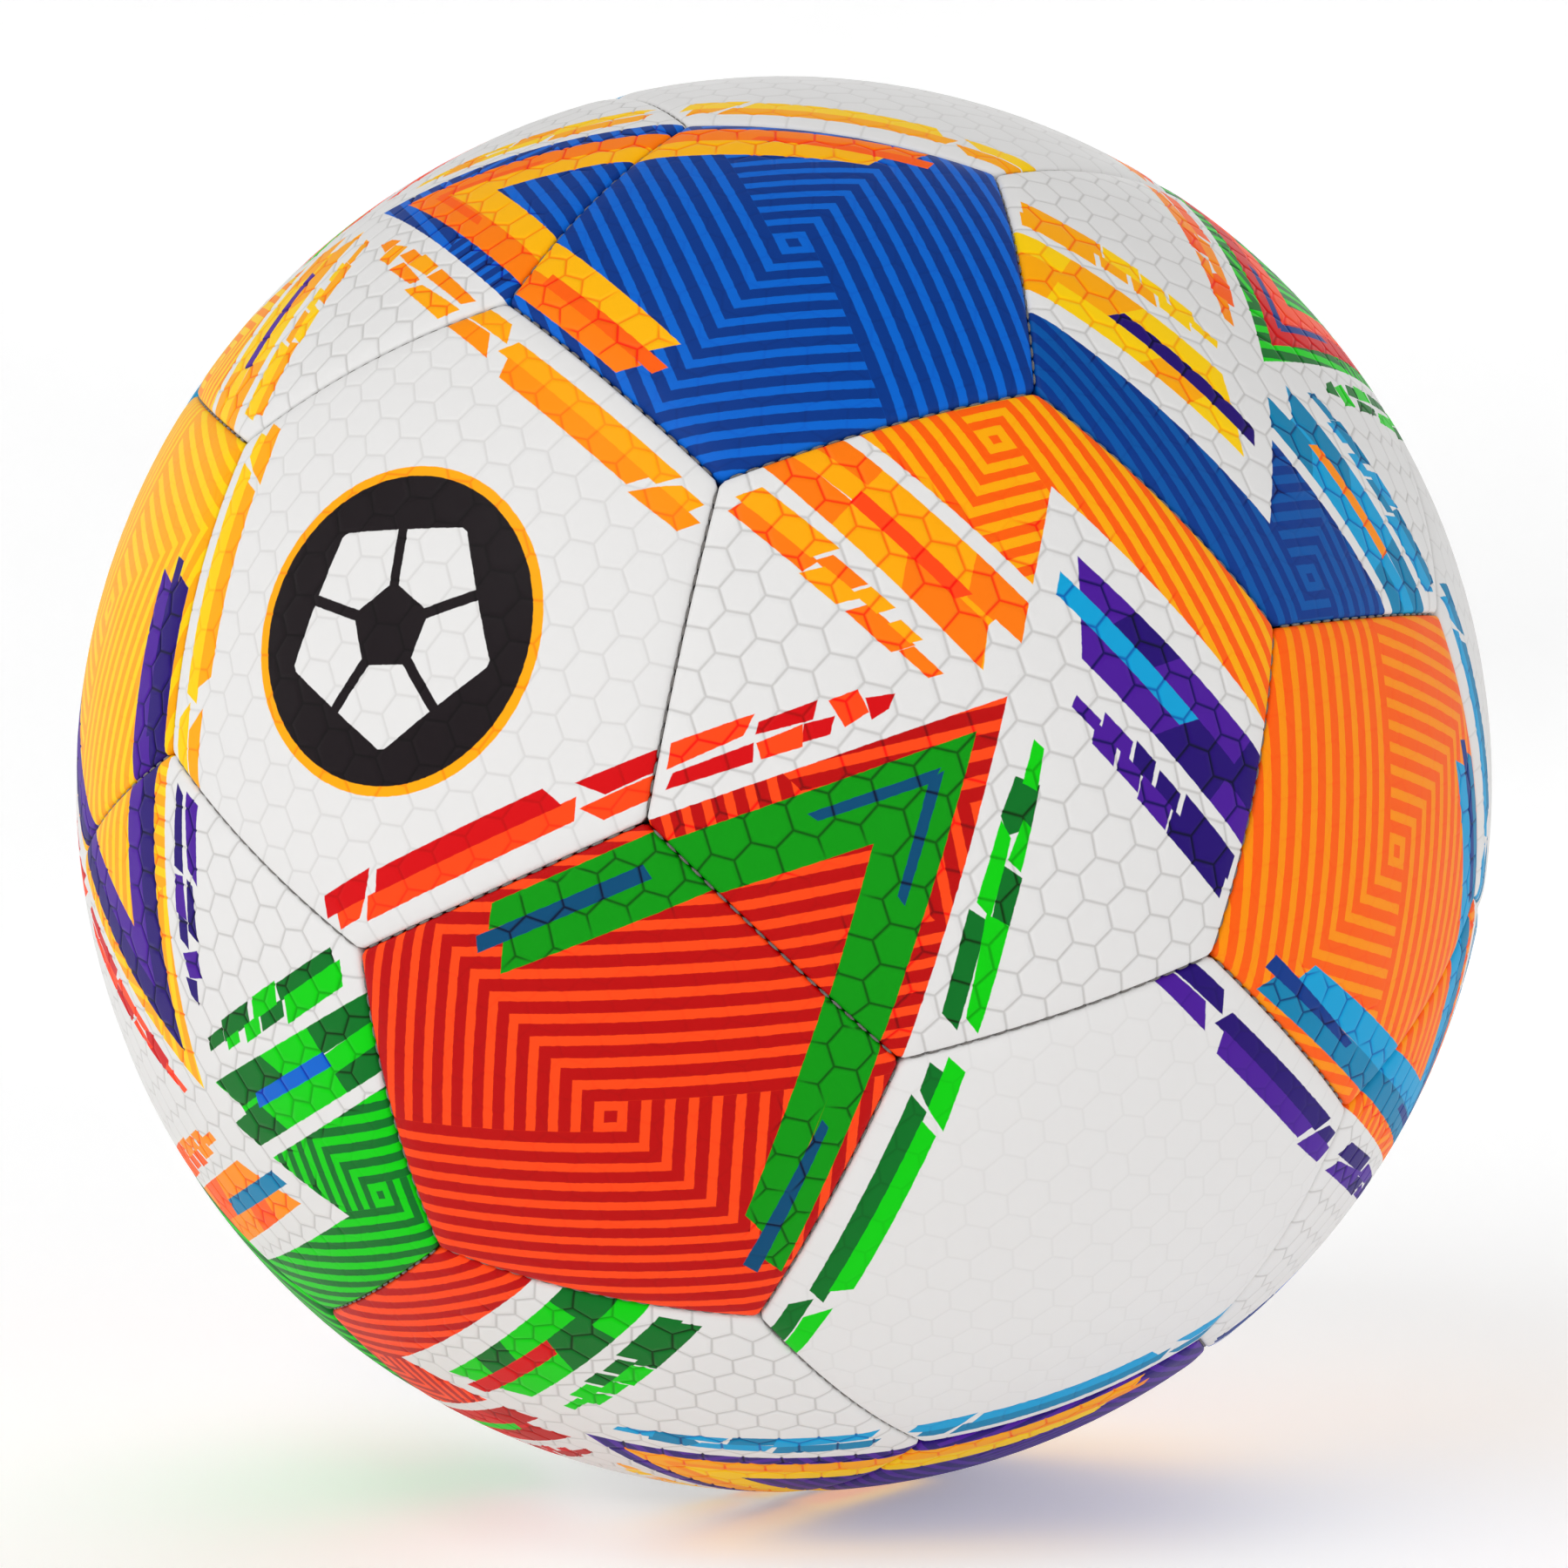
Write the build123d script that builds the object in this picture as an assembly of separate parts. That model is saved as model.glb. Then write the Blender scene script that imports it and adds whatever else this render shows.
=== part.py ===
"""Stitched soccer ball, size 5, built from 32 panels round an inflated bladder.

The seams follow the edges of a truncated icosahedron: 12 pentagons and 20 hexagons of equal
edge. Each panel is a thin cover with its rim folded inwards, a foam pad and a cloth lining
inside that rim, and it is sewn to its neighbours rim to rim. The ball's centre is the origin,
+Z is up, and all lengths are millimetres.
"""

from build123d import *
import os
from itertools import combinations
from math import acos, atan, cos, degrees, radians, sin

# Driving dimensions
BALL_RADIUS = 110.0  # 691 mm round, inside the 680 to 700 mm of a size 5 ball
COVER = 1.3  # printed synthetic leather
FOAM = 2.2
LINING = 0.8  # cloth plies
BLADDER = 1.2
BOND = 0.05  # glue film between one layer and the next
SEAM_GAP = 0.7  # room for the thread between two folded rims
CORNER_ROUND = 2.6  # a panel's corners, seen from outside
EDGE_ROUND = 1.9  # where the cover turns down into the seam

THREAD_DIAMETER = 0.6
THREAD_DEPTH = 2.7  # below the ball's surface
THREAD_END = 1.0  # degrees left free at each end of a seam

NECK_RADIUS = 3.5  # valve neck that fills the hole in the panel
NECK_RECESS = 0.4
PATCH_RADIUS, PATCH = 15.0, 0.8
FLANGE_RADIUS, FLANGE = 9.5, 1.0
STEM_RADIUS, STEM_LENGTH = 5.0, 13.0
CORE_RADIUS, CORE_LENGTH, CORE_RECESS = 2.4, 15.0, 0.6
NEEDLE_RADIUS, NEEDLE_DEPTH = 1.25, 12.0  # hole for the inflating needle

# How the ball lies: about the vertical, then forwards, then about the vertical again
SPIN, TILT, TURN = 40.0, 50.0, 0.5
VALVE_PANEL = (2, 6, 7)  # the three pentagons round the hexagon that holds the valve

FOAM_TOP = BALL_RADIUS - COVER - BOND
LINING_TOP = FOAM_TOP - FOAM - BOND
RIM_END = LINING_TOP - LINING
BLADDER_TOP = RIM_END - BOND
PATCH_TOP = BLADDER_TOP - BLADDER - BOND
FLANGE_TOP = PATCH_TOP - PATCH - BOND
LIE = Rot(0, 0, TURN) * Rot(TILT, 0, 0) * Rot(0, 0, SPIN)


# The seam pattern
def pentagon_axes():
    """Unit vectors to the twelve pentagons: one on top, two rings of five, one below."""
    latitude = atan(0.5)
    across, up = cos(latitude), sin(latitude)
    ring = [radians(72 * k) for k in range(5)]
    upper = [Vector(across * cos(a), across * sin(a), up) for a in ring]
    lower = [Vector(across * cos(a), across * sin(a), -up) for a in (b + radians(36) for b in ring)]
    return [Vector(0, 0, 1), *upper, *lower, Vector(0, 0, -1)]


AXES = pentagon_axes()


def neighbours(i, j):
    return i != j and degrees(acos(AXES[i].dot(AXES[j]))) < 70


def corner(i, j):
    """The corner of pentagon i that points at pentagon j."""
    return (AXES[i] * 2 + AXES[j]).normalized()


def pentagon_frame(i):
    return panel_frame(AXES[i], corner(i, next(j for j in range(12) if neighbours(i, j))))


def hexagon_frame(trio):
    return panel_frame(sum((AXES[i] for i in trio), Vector()), corner(trio[0], trio[1]))


def panel_frame(centre, towards):
    """Puts a panel built round +Z, with a corner over +X, in its place on the ball."""
    return Plane(origin=(0, 0, 0), x_dir=towards - centre.normalized(), z_dir=centre).location


PENTAGONS = list(range(12))
HEXAGONS = [
    trio for trio in combinations(range(12), 3) if all(neighbours(i, j) for i, j in combinations(trio, 2))
]


def half_width(centre, a, b):
    """Angle from a panel's centre to the middle of its seam between corners a and b."""
    return acos(centre.normalized().dot((a + b).normalized()))


PENTAGON = (5, half_width(AXES[0], corner(0, 1), corner(0, 2)))
HEXAGON = (6, half_width(AXES[0] + AXES[1] + AXES[2], corner(0, 1), corner(0, 2)))


# Panels
def ball(radius):
    """A full ball whose poles and seam line lie away from +Z, where the panels are made."""
    return Rot(90, 0, 0) * Sphere(radius)


def layer(shape, outside, inside, inset):
    """What the seams' planes, each moved in by inset, leave of a shell."""
    sides, angle = shape
    piece = ball(outside) - ball(inside)
    for side in range(sides):
        azimuth = 360 / sides * (side + 0.5)
        outwards = Vector(cos(angle), 0, -sin(angle)).rotate(Axis.Z, azimuth)
        piece = split(piece, bisect_by=Plane(origin=outwards * -inset, z_dir=outwards), keep=Keep.BOTTOM)
    return piece


def cover(shape):
    """The skin of a panel: a shallow pan, open towards the ball's centre."""
    block = layer(shape, BALL_RADIUS, RIM_END, SEAM_GAP / 2)
    block = fillet(block.edges().filter_by(GeomType.LINE), CORNER_ROUND)
    block = fillet(block.faces().sort_by(Axis.Z)[-1].edges(), EDGE_ROUND)
    return block - layer(shape, BALL_RADIUS - COVER, RIM_END - COVER, SEAM_GAP / 2 + COVER)


def filling(shape, top, thickness):
    """A layer that lies inside the folded rim of its cover."""
    return layer(shape, top, top - thickness, SEAM_GAP / 2 + COVER + BOND)


def holed(panel):
    """A panel layer with the hole that the valve's neck passes through."""
    return panel - neck_hole()


def placed(template, frames, valve_frame=None):
    """A copy of the panel layer in each frame, holed in the one that takes the valve."""
    return [frame * (holed(template) if frame is valve_frame else template) for frame in frames]


# Seam thread
def thread(a, b):
    """The thread of one seam, as an arc round the ball's centre between corners a and b."""
    radius = BALL_RADIUS - THREAD_DEPTH
    span = a.get_angle(b) - 2 * THREAD_END
    section = Plane.XZ * Pos(radius, 0) * Circle(THREAD_DIAMETER / 2)
    arc = revolve(section, Axis.Z, span)
    return Plane(origin=(0, 0, 0), x_dir=a, z_dir=a.cross(b)).location * Rot(0, 0, THREAD_END) * arc


def pentagon_seams():
    for i in PENTAGONS:
        for j, k in combinations([n for n in range(12) if neighbours(i, n)], 2):
            if neighbours(j, k):
                yield thread(corner(i, j), corner(i, k))


def hexagon_seams():
    for i, j in combinations(range(12), 2):
        if neighbours(i, j):
            yield thread(corner(i, j), corner(j, i))


# Bladder and valve, built round +Z
def standing(radius, bottom, top):
    return Pos(0, 0, bottom) * Cylinder(radius, top - bottom, align=(Align.CENTER, Align.CENTER, Align.MIN))


def neck_hole():
    return standing(NECK_RADIUS + BOND, BALL_RADIUS / 2, 2 * BALL_RADIUS)


def disc(radius, top, thickness):
    """A round patch that follows the inside of the bladder."""
    return standing(radius, BALL_RADIUS / 2, BALL_RADIUS) & (ball(top) - ball(top - thickness))


def bladder():
    return ball(BLADDER_TOP) - ball(BLADDER_TOP - BLADDER) - neck_hole()


def valve_patch():
    return disc(PATCH_RADIUS, PATCH_TOP, PATCH) - neck_hole()


def valve_housing():
    top = BALL_RADIUS - NECK_RECESS
    bottom = FLANGE_TOP - STEM_LENGTH
    neck = standing(NECK_RADIUS, bottom, top)
    stem = standing(STEM_RADIUS, bottom, FLANGE_TOP - FLANGE)
    flange = disc(FLANGE_RADIUS, FLANGE_TOP, FLANGE)
    return neck + stem + flange - standing(CORE_RADIUS + BOND, bottom - 1, top + 1)


def valve_core():
    top = BALL_RADIUS - NECK_RECESS - CORE_RECESS
    plug = standing(CORE_RADIUS, top - CORE_LENGTH, top)
    return plug - standing(NEEDLE_RADIUS, top - NEEDLE_DEPTH, top + 1)


# Writing the nodes
def save(node, shape):
    export_step(LIE * shape, f"parts/{node}.step")


def save_group(node, solids):
    save(node, Compound(children=[s for shape in solids for s in shape.solids()]))


os.makedirs("parts", exist_ok=True)
pentagon_frames = [pentagon_frame(i) for i in PENTAGONS]
hexagon_frames = [hexagon_frame(trio) for trio in HEXAGONS]
valve_frame = hexagon_frames[HEXAGONS.index(VALVE_PANEL)]

for number, panel in enumerate(placed(cover(PENTAGON), pentagon_frames), 1):
    save(f"pentagon_panel_{number:02}", panel)
for number, panel in enumerate(placed(cover(HEXAGON), hexagon_frames, valve_frame), 1):
    save(f"hexagon_panel_{number:02}", panel)

for name, top, thickness in (("foam_pads", FOAM_TOP, FOAM), ("linings", LINING_TOP, LINING)):
    save_group(f"pentagon_{name}", placed(filling(PENTAGON, top, thickness), pentagon_frames))
    save_group(f"hexagon_{name}", placed(filling(HEXAGON, top, thickness), hexagon_frames, valve_frame))

save_group("pentagon_seam_threads", pentagon_seams())
save_group("hexagon_seam_threads", hexagon_seams())

for make in (bladder, valve_patch, valve_housing, valve_core):
    save(make.__name__, valve_frame * make())

valve_axis = (LIE * valve_frame * Pos(0, 0, 1)).position
print("valve axis", [round(c, 6) for c in valve_axis])
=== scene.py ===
# %% [markdown]
# # A stitched soccer ball
# The ball is 32 panels of printed synthetic leather, 12 pentagons and 20 hexagons, sewn together
# inside out and turned through the last open seam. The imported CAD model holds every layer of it.
# This script keeps the inner layers and the valve, and models each cover panel and each seam again,
# with the embossed honeycomb, the rolled edges, the stitches and the print.

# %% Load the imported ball
import math
from itertools import combinations

import bmesh
import bpy
from mathutils import Matrix, Vector, noise


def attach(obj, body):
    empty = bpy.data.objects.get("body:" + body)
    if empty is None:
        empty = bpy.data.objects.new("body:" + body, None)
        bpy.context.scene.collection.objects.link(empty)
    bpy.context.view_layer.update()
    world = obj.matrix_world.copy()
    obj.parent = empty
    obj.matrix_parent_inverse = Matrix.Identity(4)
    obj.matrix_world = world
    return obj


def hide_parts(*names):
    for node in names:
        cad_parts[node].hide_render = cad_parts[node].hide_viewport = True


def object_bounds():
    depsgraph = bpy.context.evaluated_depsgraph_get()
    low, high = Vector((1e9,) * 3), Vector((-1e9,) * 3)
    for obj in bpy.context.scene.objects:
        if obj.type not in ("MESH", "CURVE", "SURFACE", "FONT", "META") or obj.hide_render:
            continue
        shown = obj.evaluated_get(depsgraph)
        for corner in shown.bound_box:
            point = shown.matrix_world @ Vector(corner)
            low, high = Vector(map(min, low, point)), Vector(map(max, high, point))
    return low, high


MM = 0.001
WELD = 0.0001

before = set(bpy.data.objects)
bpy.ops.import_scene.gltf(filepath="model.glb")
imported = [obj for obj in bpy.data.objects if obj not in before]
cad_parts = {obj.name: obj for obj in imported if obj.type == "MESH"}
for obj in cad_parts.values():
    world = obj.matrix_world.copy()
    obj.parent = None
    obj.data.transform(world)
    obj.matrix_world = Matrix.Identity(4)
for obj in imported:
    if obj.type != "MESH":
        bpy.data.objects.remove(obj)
cad_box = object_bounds()
BALL_RADIUS = (cad_box[1].z - cad_box[0].z) / 2 / MM
print(f"{len(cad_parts)} packed nodes, ball radius {BALL_RADIUS:.2f} mm")

# %% [markdown]
# ## The camera
# The ball fills nine tenths of the view, seen level from a little under half a metre. A short
# distance matters: it hides the outer ring of the ball and makes the front panels look larger.

# %% Camera
CAMERA_RADII = 4.415
LENS, SENSOR = 69.9, 36.0
CAMERA_DISTANCE = CAMERA_RADII * BALL_RADIUS * MM
camera_data = bpy.data.cameras.new("camera")
camera_data.lens = LENS
camera_data.sensor_width = SENSOR
camera = bpy.data.objects.new("camera", camera_data)
camera.location = (0, -CAMERA_DISTANCE, 0)
camera.rotation_euler = (math.radians(90), 0, 0)
bpy.context.collection.objects.link(camera)
bpy.context.scene.camera = camera
print(f"camera {CAMERA_DISTANCE:.3f} m in front of the ball's centre")

# %% [markdown]
# ## The studio
# A pale bowl is floor and backdrop at once: flat under the ball, then turned up all round, so that the
# floor runs into the wall without a corner. A flat plane would end in a hard horizon. The bowl's profile
# is a short line that a spin carries round the vertical.

# %% Floor and backdrop
FLOOR_FLAT = 1.6
BOWL_CURVE = 0.6
WALL_HEIGHT = 0.9
CURVE_STEPS, BOWL_STEPS = 12, 96


def mesh_object(name, bm):
    """Turns a finished bmesh into an object of the scene."""
    mesh = bpy.data.meshes.new(name)
    bm.to_mesh(mesh)
    bm.free()
    mesh.shade_smooth()
    thing = bpy.data.objects.new(name, mesh)
    bpy.context.collection.objects.link(thing)
    return thing


def studio_bowl():
    """Flat floor, quarter round and wall, spun about the vertical through the ball."""
    bm = bmesh.new()
    floor_level = cad_box[0].z
    first = bm.verts.new((0, 0, floor_level))
    last = bm.verts.new((FLOOR_FLAT, 0, floor_level))
    bm.edges.new((first, last))
    curve = bmesh.ops.spin(bm, geom=[last], cent=(FLOOR_FLAT, 0, floor_level + BOWL_CURVE), axis=(0, -1, 0),
                           angle=math.radians(90), steps=CURVE_STEPS, space=Matrix.Identity(4))
    top = next(item for item in curve["geom_last"] if isinstance(item, bmesh.types.BMVert))
    bm.edges.new((top, bm.verts.new(top.co + Vector((0, 0, WALL_HEIGHT)))))
    bmesh.ops.spin(bm, geom=bm.verts[:] + bm.edges[:], cent=(0, 0, 0), axis=(0, 0, 1),
                   angle=math.tau, steps=BOWL_STEPS, use_merge=True)
    bmesh.ops.remove_doubles(bm, verts=bm.verts, dist=WELD)
    bmesh.ops.recalc_face_normals(bm, faces=bm.faces)
    return mesh_object("studio_bowl", bm)


bowl = studio_bowl()
print(f"studio bowl of {len(bowl.data.polygons)} faces")

# %% [markdown]
# ## The lights
# A product shot is lit softly, so that the inks keep their colour and the emboss still throws a faint
# shade. A large square light stands high on the left, a weaker one on the right and one behind, and a
# pale sky fills the rest. A sun or a spot would put a hard glare on the ball. The view transform is the
# plain one, because the filmic one greys the saturated inks.

# %% Lights
LIGHT_AIM = Vector((0, 0, 0))
SKY_STRENGTH = 0.32


def soft_light(name, place, size, watts):
    """A square area light that faces the ball."""
    data = bpy.data.lights.new(name, "AREA")
    data.size = size
    data.energy = watts
    lamp = bpy.data.objects.new(name, data)
    lamp.location = place
    lamp.rotation_euler = (LIGHT_AIM - Vector(place)).to_track_quat("-Z", "Y").to_euler()
    bpy.context.collection.objects.link(lamp)
    print(f"{name}: {watts} W, {size} m wide")


soft_light("key_light", (-0.75, -0.95, 1.05), 1.0, 8)
soft_light("right_light", (1.2, -0.8, 0.35), 1.0, 1)
soft_light("back_light", (0.3, 1.4, 1.0), 1.2, 5)

world = bpy.data.worlds.new("pale_sky")
world.use_nodes = True
world.node_tree.nodes["Background"].inputs["Color"].default_value = (1, 1, 1, 1)
world.node_tree.nodes["Background"].inputs["Strength"].default_value = SKY_STRENGTH
bpy.context.scene.world = world
bpy.context.scene.view_settings.view_transform = "Standard"

# %% [markdown]
# ## Where the panels lie
# Cut the twelve corners off an icosahedron and its surface has 12 pentagons and 20 hexagons with one
# edge length: the seam pattern. A pentagon is centred on each corner axis, a hexagon between each
# three axes that are neighbours. The same three turns as in the CAD model lay it down.
#
# The print is one motif that comes twelve times. Each pentagon carries a chevron that points over one
# of its seams into one hexagon, and that hexagon holds the chevron's tip and the bars round it. The
# eight other hexagons are plain, with a broken bar along each pentagon. So each panel gets its own
# upright frame: x to the right, y towards that seam, z outwards.

# %% Seam pattern
SPIN, TILT, TURN = 40.0, 50.0, 0.5
NEAR_AXES = 70.0


def turn_about(axis, degrees):
    return Matrix.Rotation(math.radians(degrees), 3, axis)


def pentagon_axes():
    """Unit vectors to the twelve pentagons: one on top, two rings of five, one below."""
    latitude = math.atan(0.5)
    ring = [math.radians(72 * k) for k in range(5)]
    low_ring = [angle + math.radians(36) for angle in ring]
    across, up = math.cos(latitude), math.sin(latitude)
    axes = [Vector((0, 0, 1))]
    axes += [Vector((across * math.cos(a), across * math.sin(a), up)) for a in ring]
    axes += [Vector((across * math.cos(a), across * math.sin(a), -up)) for a in low_ring]
    axes.append(Vector((0, 0, -1)))
    lie = turn_about("Z", TURN) @ turn_about("X", TILT) @ turn_about("Z", SPIN)
    return [lie @ axis for axis in axes]


AXES = pentagon_axes()


def are_neighbours(i, j):
    return i != j and AXES[i].angle(AXES[j]) < math.radians(NEAR_AXES)


def pentagon_corner(i, j):
    """The corner of pentagon i that points at pentagon j."""
    return (AXES[i] * 2 + AXES[j]).normalized()


HEXAGONS = [trio for trio in combinations(range(12), 3)
            if all(are_neighbours(i, j) for i, j in combinations(trio, 2))]
HEXAGON_CENTRES = [sum((AXES[i] for i in trio), Vector()).normalized() for trio in HEXAGONS]

# Hexagon number: the pentagon whose chevron ends in it
CHEVRON_OF = {2: 2, 3: 1, 5: 5, 6: 3, 8: 11, 9: 8, 11: 4, 14: 10, 15: 6, 16: 7, 18: 9, 20: 12}
HEXAGON_OF = {pentagon: hexagon for hexagon, pentagon in CHEVRON_OF.items()}


def upright_frame(centre, towards):
    """Columns x, y, z of a panel: y points towards a neighbour's centre, z outwards."""
    out = centre.normalized()
    up = (towards - out * towards.dot(out)).normalized()
    return Matrix((up.cross(out), up, out)).transposed()


print(f"{len(AXES)} pentagons, {len(HEXAGONS)} hexagons, {len(CHEVRON_OF)} of them with a chevron tip")

# %% [markdown]
# ## The cover panels
# A real panel is die-cut from embossed sheet, and its rim is folded down and sewn to the next one, so
# the surface rolls over into a narrow dark seam. The same order is kept here: a flat sheet first, which
# is pressed onto the ball last. All sizes are in millimetres.

# %% Panel sizes
CELL = 5.3
CELL_WELD = CELL / 50
GROOVE_WIDTH, GROOVE_DEPTH = 0.56, 0.16
CELL_SHOULDER = 0.5
CELL_DRIFT, DRIFT_SPAN = 0.35, 1.7
DRIFT_SEED = 32
SEAM_GAP = 0.26
CORNER_CUT = 0.3
EDGE_ROLL = 0.6
PUFF_WIDTH, PUFF = 4.0, 0.5
EDGE_CUTS = (0.1, 0.3, 0.6, 1.3, 2.2, 3.2, 4.2)
RIM_RADIUS = 105.6
COVER = 1.3
INSIDE_RINGS = (0.7, 0.4, 0.12)


class Outline:
    """A panel's flat shape: its straight sides and the small cuts across its corners."""

    def __init__(self, sides, corner_angle):
        self.sides = sides
        self.corner = BALL_RADIUS * math.sin(corner_angle)
        self.plane = BALL_RADIUS * math.cos(corner_angle)
        self.apothem = self.corner * math.cos(math.pi / sides) - SEAM_GAP / 2
        side_angles = [math.pi / 2 + math.tau * k / sides for k in range(sides)]
        self.side_lines = [(self.direction(a), self.apothem) for a in side_angles]
        reach = self.apothem / math.cos(math.pi / sides) - CORNER_CUT
        self.corner_lines = [(self.direction(a + math.pi / sides), reach) for a in side_angles]

    @staticmethod
    def direction(angle):
        return Vector((math.cos(angle), math.sin(angle), 0))

    def inset(self, flat):
        """How far a flat point lies inside the outline."""
        nearest = min(reach - flat.dot(normal) for normal, reach in self.side_lines + self.corner_lines)
        return max(0.0, nearest)

    def on_ball(self, flat, radius):
        return Vector((flat.x, flat.y, self.plane)).normalized() * radius

    def flat_place(self, place):
        return Vector((place.x, place.y, 0)) * (self.plane / place.z)


first_corner = pentagon_corner(0, 1)
PENTAGON = Outline(5, AXES[0].angle(first_corner))
HEXAGON = Outline(6, HEXAGON_CENTRES[0].angle(first_corner))
print(f"pentagon {PENTAGON.apothem:.1f} mm and hexagon {HEXAGON.apothem:.1f} mm from centre to seam")

# %% [markdown]
# ## The embossed sheet
# The sheet is rolled with a honeycomb of low cells. A bump map would shade it, but the mesh itself would
# stay smooth, so the grooves are modelled:
#
# 1. hexagon circles side by side, welded, are the honeycomb;
# 2. two insets in each cell leave a groove between the cells, and its shoulders;
# 3. straight cuts trim it to the panel's outline, and cuts parallel to the outline add the points that
#    the rolled edge needs.
#
# The noise that moves the cells a little out of line has a fixed seed, so every run gives the same sheet.
# The flat place of each point, in millimetres, stays on the panel as its UV map, for the print.

# %% Embossed sheet
def honeycomb(reach):
    """A flat sheet of hexagon cells with a groove round each one."""
    bm = bmesh.new()
    row_step = CELL * math.sqrt(3) / 2
    rows, columns = math.ceil(reach / row_step), math.ceil(reach / CELL)
    for row in range(-rows, rows + 1):
        for column in range(-columns, columns + 1):
            place = Matrix.Translation(((column + row % 2 / 2) * CELL, row * row_step, 0))
            bmesh.ops.create_circle(bm, cap_ends=True, segments=6, radius=CELL / math.sqrt(3), matrix=place)
    bmesh.ops.remove_doubles(bm, verts=bm.verts, dist=CELL_WELD)
    groove = bm.verts.layers.float.new("groove")
    cell_corners = set(bm.verts)
    for step in (GROOVE_WIDTH / 2, CELL_SHOULDER):
        cells = [face for face in bm.faces if len(face.verts) == 6]
        bmesh.ops.inset_individual(bm, faces=cells, thickness=step, use_even_offset=True)
    for vert in bm.verts:
        vert[groove] = 1.0 if vert in cell_corners else 0.0
    return bm


def cut(bm, normal, reach, clear=False):
    """A straight cut across the flat sheet, which may take off what lies outside."""
    bmesh.ops.bisect_plane(bm, geom=bm.verts[:] + bm.edges[:] + bm.faces[:], dist=WELD,
                           plane_co=normal * reach, plane_no=normal, clear_outer=clear)


def flat_panel(outline):
    """The embossed sheet, trimmed to the outline, with its flat places kept as the print's UV map."""
    bm = honeycomb(outline.corner + CELL)
    for vert in bm.verts:
        drift = noise.noise_vector(vert.co / CELL / DRIFT_SPAN) * CELL_DRIFT
        vert.co += Vector((drift.x, drift.y, 0))
    for normal, reach in outline.side_lines + outline.corner_lines:
        cut(bm, normal, reach, clear=True)
    for step in EDGE_CUTS:
        for normal, reach in outline.side_lines:
            cut(bm, normal, reach - step)
    uv = bm.loops.layers.uv.new("print")
    for face in bm.faces:
        for loop in face.loops:
            loop[uv].uv = loop.vert.co.xy
    return bm


noise.seed_set(DRIFT_SEED)
FLAT_PANELS = {outline.sides: flat_panel(outline) for outline in (PENTAGON, HEXAGON)}
print({sides: f"{len(bm.faces)} faces" for sides, bm in FLAT_PANELS.items()})

# %% [markdown]
# ## The panel on the ball
# Air pressure and the foam behind it round each panel out between its seams. So each point goes out to
# the ball's radius, lower in a groove and near a seam. Then the outline is extruded inwards as the folded
# rim, and closed on the inside, because a closed piece can be drilled, printed or weighed.

# %% Panel on the ball
def edge_drop(inset):
    """How far the surface has sunk, at a distance from the seam: a soft puff, then the tight roll."""
    puff = PUFF * max(0.0, 1 - inset / PUFF_WIDTH) ** 2
    roll = max(0.0, EDGE_ROLL - inset)
    return puff + EDGE_ROLL - math.sqrt(EDGE_ROLL**2 - roll**2)


def close_inside(bm, outline):
    """Extrudes the outline down as the folded rim, then inwards in rings under the cover."""
    fold = 1 - COVER / outline.apothem
    inner = BALL_RADIUS - COVER - PUFF
    rings = [(1.0, RIM_RADIUS), (fold, RIM_RADIUS), (fold, inner)]
    rings += [(scale, inner) for scale in INSIDE_RINGS]
    rim = [edge for edge in bm.edges if edge.is_boundary]
    last_scale = 1.0
    for scale, radius in rings:
        grown = bmesh.ops.extrude_edge_only(bm, edges=rim)["geom"]
        rim = [item for item in grown if isinstance(item, bmesh.types.BMEdge) and item.is_boundary]
        for vert in (item for item in grown if isinstance(item, bmesh.types.BMVert)):
            flat = outline.flat_place(vert.co) * (scale / last_scale)
            vert.co = outline.on_ball(flat, radius)
        last_scale = scale
    bmesh.ops.contextual_create(bm, geom=rim)


def ball_panel(name, outline, panel_frame, emboss):
    """One closed cover panel in its place on the ball."""
    bm = FLAT_PANELS[outline.sides].copy()
    groove = bm.verts.layers.float["groove"]
    for vert in bm.verts:
        vert[groove] *= emboss(vert.co)
        drop = edge_drop(outline.inset(vert.co))
        vert.co = outline.on_ball(vert.co, BALL_RADIUS - drop - GROOVE_DEPTH * vert[groove])
    close_inside(bm, outline)
    bmesh.ops.recalc_face_normals(bm, faces=bm.faces)
    bm.transform(panel_frame.to_4x4() * MM)
    return mesh_object(name, bm)


# %% [markdown]
# ## Finishes, written as arithmetic
# A printed panel is an inked film on white synthetic leather. Its colours have exact outlines, so the
# print is worked out from the flat place of each point and not painted. Written node by node that would
# be hundreds of lines, so a small class wraps a socket: an operator between two of them adds the Math
# node. Everything else goes through one method, `node`.

# %% Shader arithmetic
class Value:
    """A socket that can be used in an expression."""

    def __init__(self, finish, socket):
        self.finish, self.socket = finish, socket

    def maths(self, operation, *others, clamp=False):
        settings = {"operation": operation, "use_clamp": clamp}
        return self.finish.node("Math", settings, dict(enumerate((self, *others))))

    def __add__(self, other):
        return self.maths("ADD", other)

    def __sub__(self, other):
        return self.maths("SUBTRACT", other)

    def __rsub__(self, other):
        return (self * -1).maths("ADD", other)

    def __mul__(self, other):
        return self.maths("MULTIPLY", other)

    def __abs__(self):
        return self.maths("ABSOLUTE")

    __radd__, __rmul__ = __add__, __mul__

    def lower(self, other):
        return self.maths("MINIMUM", other)

    def higher(self, other):
        return self.maths("MAXIMUM", other)


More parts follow.
